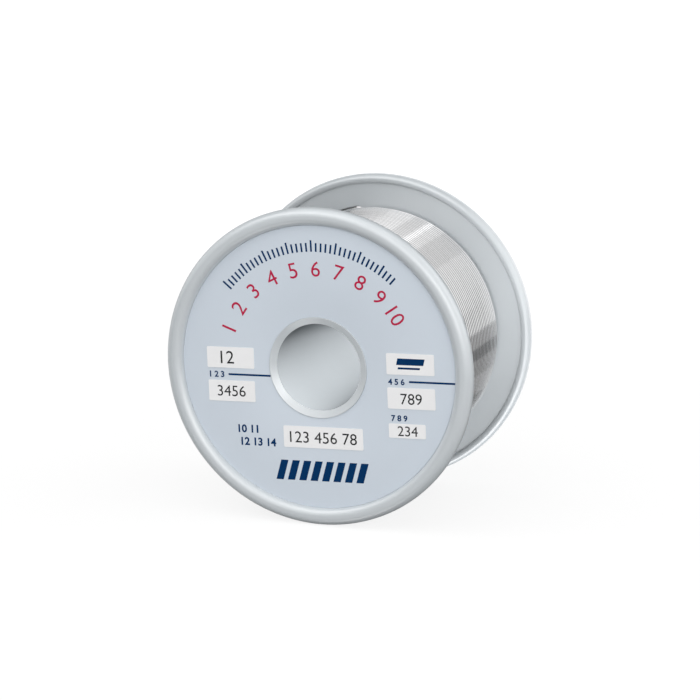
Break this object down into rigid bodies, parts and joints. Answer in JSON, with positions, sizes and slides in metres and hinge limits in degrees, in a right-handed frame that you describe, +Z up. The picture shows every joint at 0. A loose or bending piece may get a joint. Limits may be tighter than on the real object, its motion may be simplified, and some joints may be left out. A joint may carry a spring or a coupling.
{
  "type": "solder wire spool",
  "caption": "Full spool of solder wire wound between beaded plastic flanges, with a paper label on the front and a plain bore for a spindle.",
  "frame": {"origin": "centre of the bore, midway between the outer faces of the flanges", "axes": "+Y along the spool's axis from the labelled front to the rear, +Z up as the spool stands on its rims, +X to the right of someone who faces the label"},
  "size_m": [0.073, 0.0474, 0.073],
  "materials": {
    "moulded_plastic": "satin pale grey moulding",
    "solder": "bright drawn tin alloy wire",
    "label_paper": "smooth coated paper",
    "sticker_paper": "plain white sticker"
  },
  "bodies": {
    "root": {"front_flange": "moulded_plastic", "rear_flange": "moulded_plastic", "core": "moulded_plastic", "solder_wire": "solder", "front_label": "label_paper", "grade_sticker": "sticker_paper", "wire_size_sticker": "sticker_paper", "order_number_sticker": "sticker_paper", "mark_sticker": "sticker_paper", "net_weight_sticker": "sticker_paper", "flux_sticker": "sticker_paper"}
  },
  "joints": []
}
